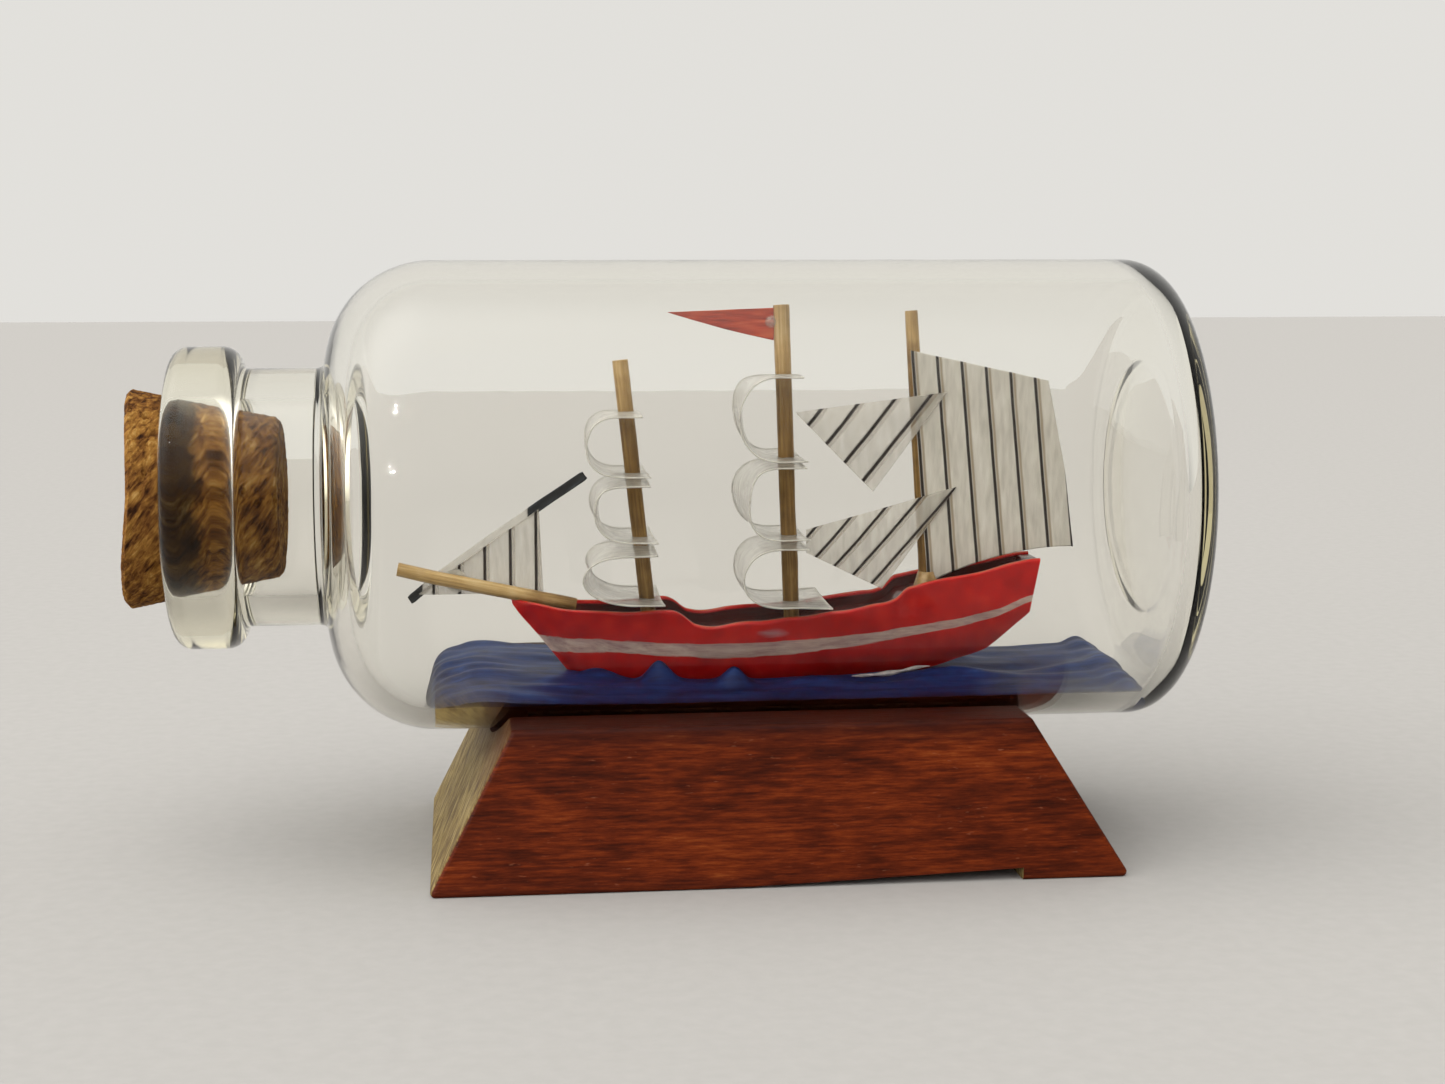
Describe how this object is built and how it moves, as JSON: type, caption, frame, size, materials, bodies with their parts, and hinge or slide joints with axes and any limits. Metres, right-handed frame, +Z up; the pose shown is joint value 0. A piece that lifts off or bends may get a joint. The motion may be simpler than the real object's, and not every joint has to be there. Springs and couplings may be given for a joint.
{
  "type": "ship in a bottle",
  "caption": "Small three-masted sailing ship on a blue putty sea inside a corked glass vial, lying in a cradle of stained wood.",
  "frame": {"origin": "on the stand's flat underside, midway along the overall length and depth", "axes": "+X along the bottle from its mouth to its base, +Y to the ship's port side, away from the viewer, +Z up"},
  "size_m": [0.067, 0.03, 0.0382],
  "materials": {
    "glass": "clear soda-lime glass, faint green",
    "cork": "natural cork, open grain",
    "stained_wood": "soft wood with worn mahogany stain",
    "clear_glue": "dried clear craft glue",
    "tan_glue": "dried tan wood glue",
    "putty": "blue putty with brushed swirls",
    "red_paint": "carved wood in gloss red paint with a pale stripe",
    "stick": "thin round sticks, brown stain",
    "film": "stiff translucent film",
    "black_strip": "flat black strip",
    "red_card": "stiff card, thin orange-red paint"
  },
  "bodies": {
    "body": {"bottle": "glass", "stand": "stained_wood", "stand_glue": "clear_glue", "sea": "putty", "hull": "red_paint", "foremast": "stick", "mainmast": "stick", "mizzenmast": "stick", "bowsprit": "stick", "fore_lower_sail": "film", "fore_middle_sail": "film", "fore_upper_sail": "film", "main_lower_sail": "film", "main_middle_sail": "film", "main_upper_sail": "film", "jib": "film", "upper_staysail": "film", "lower_staysail": "film", "spanker": "film", "jib_stay": "black_strip", "pennant": "red_card", "mizzen_glue": "tan_glue", "pennant_glue": "clear_glue", "jib_glue": "clear_glue", "hull_glue": "clear_glue"},
    "cork": {"cork": "cork"}
  },
  "joints": [
    {"name": "cork_slide", "type": "slide", "parent": "body", "child": "cork", "axis": [-1, 0, 0], "range_m": [0, 0.015]}
  ]
}
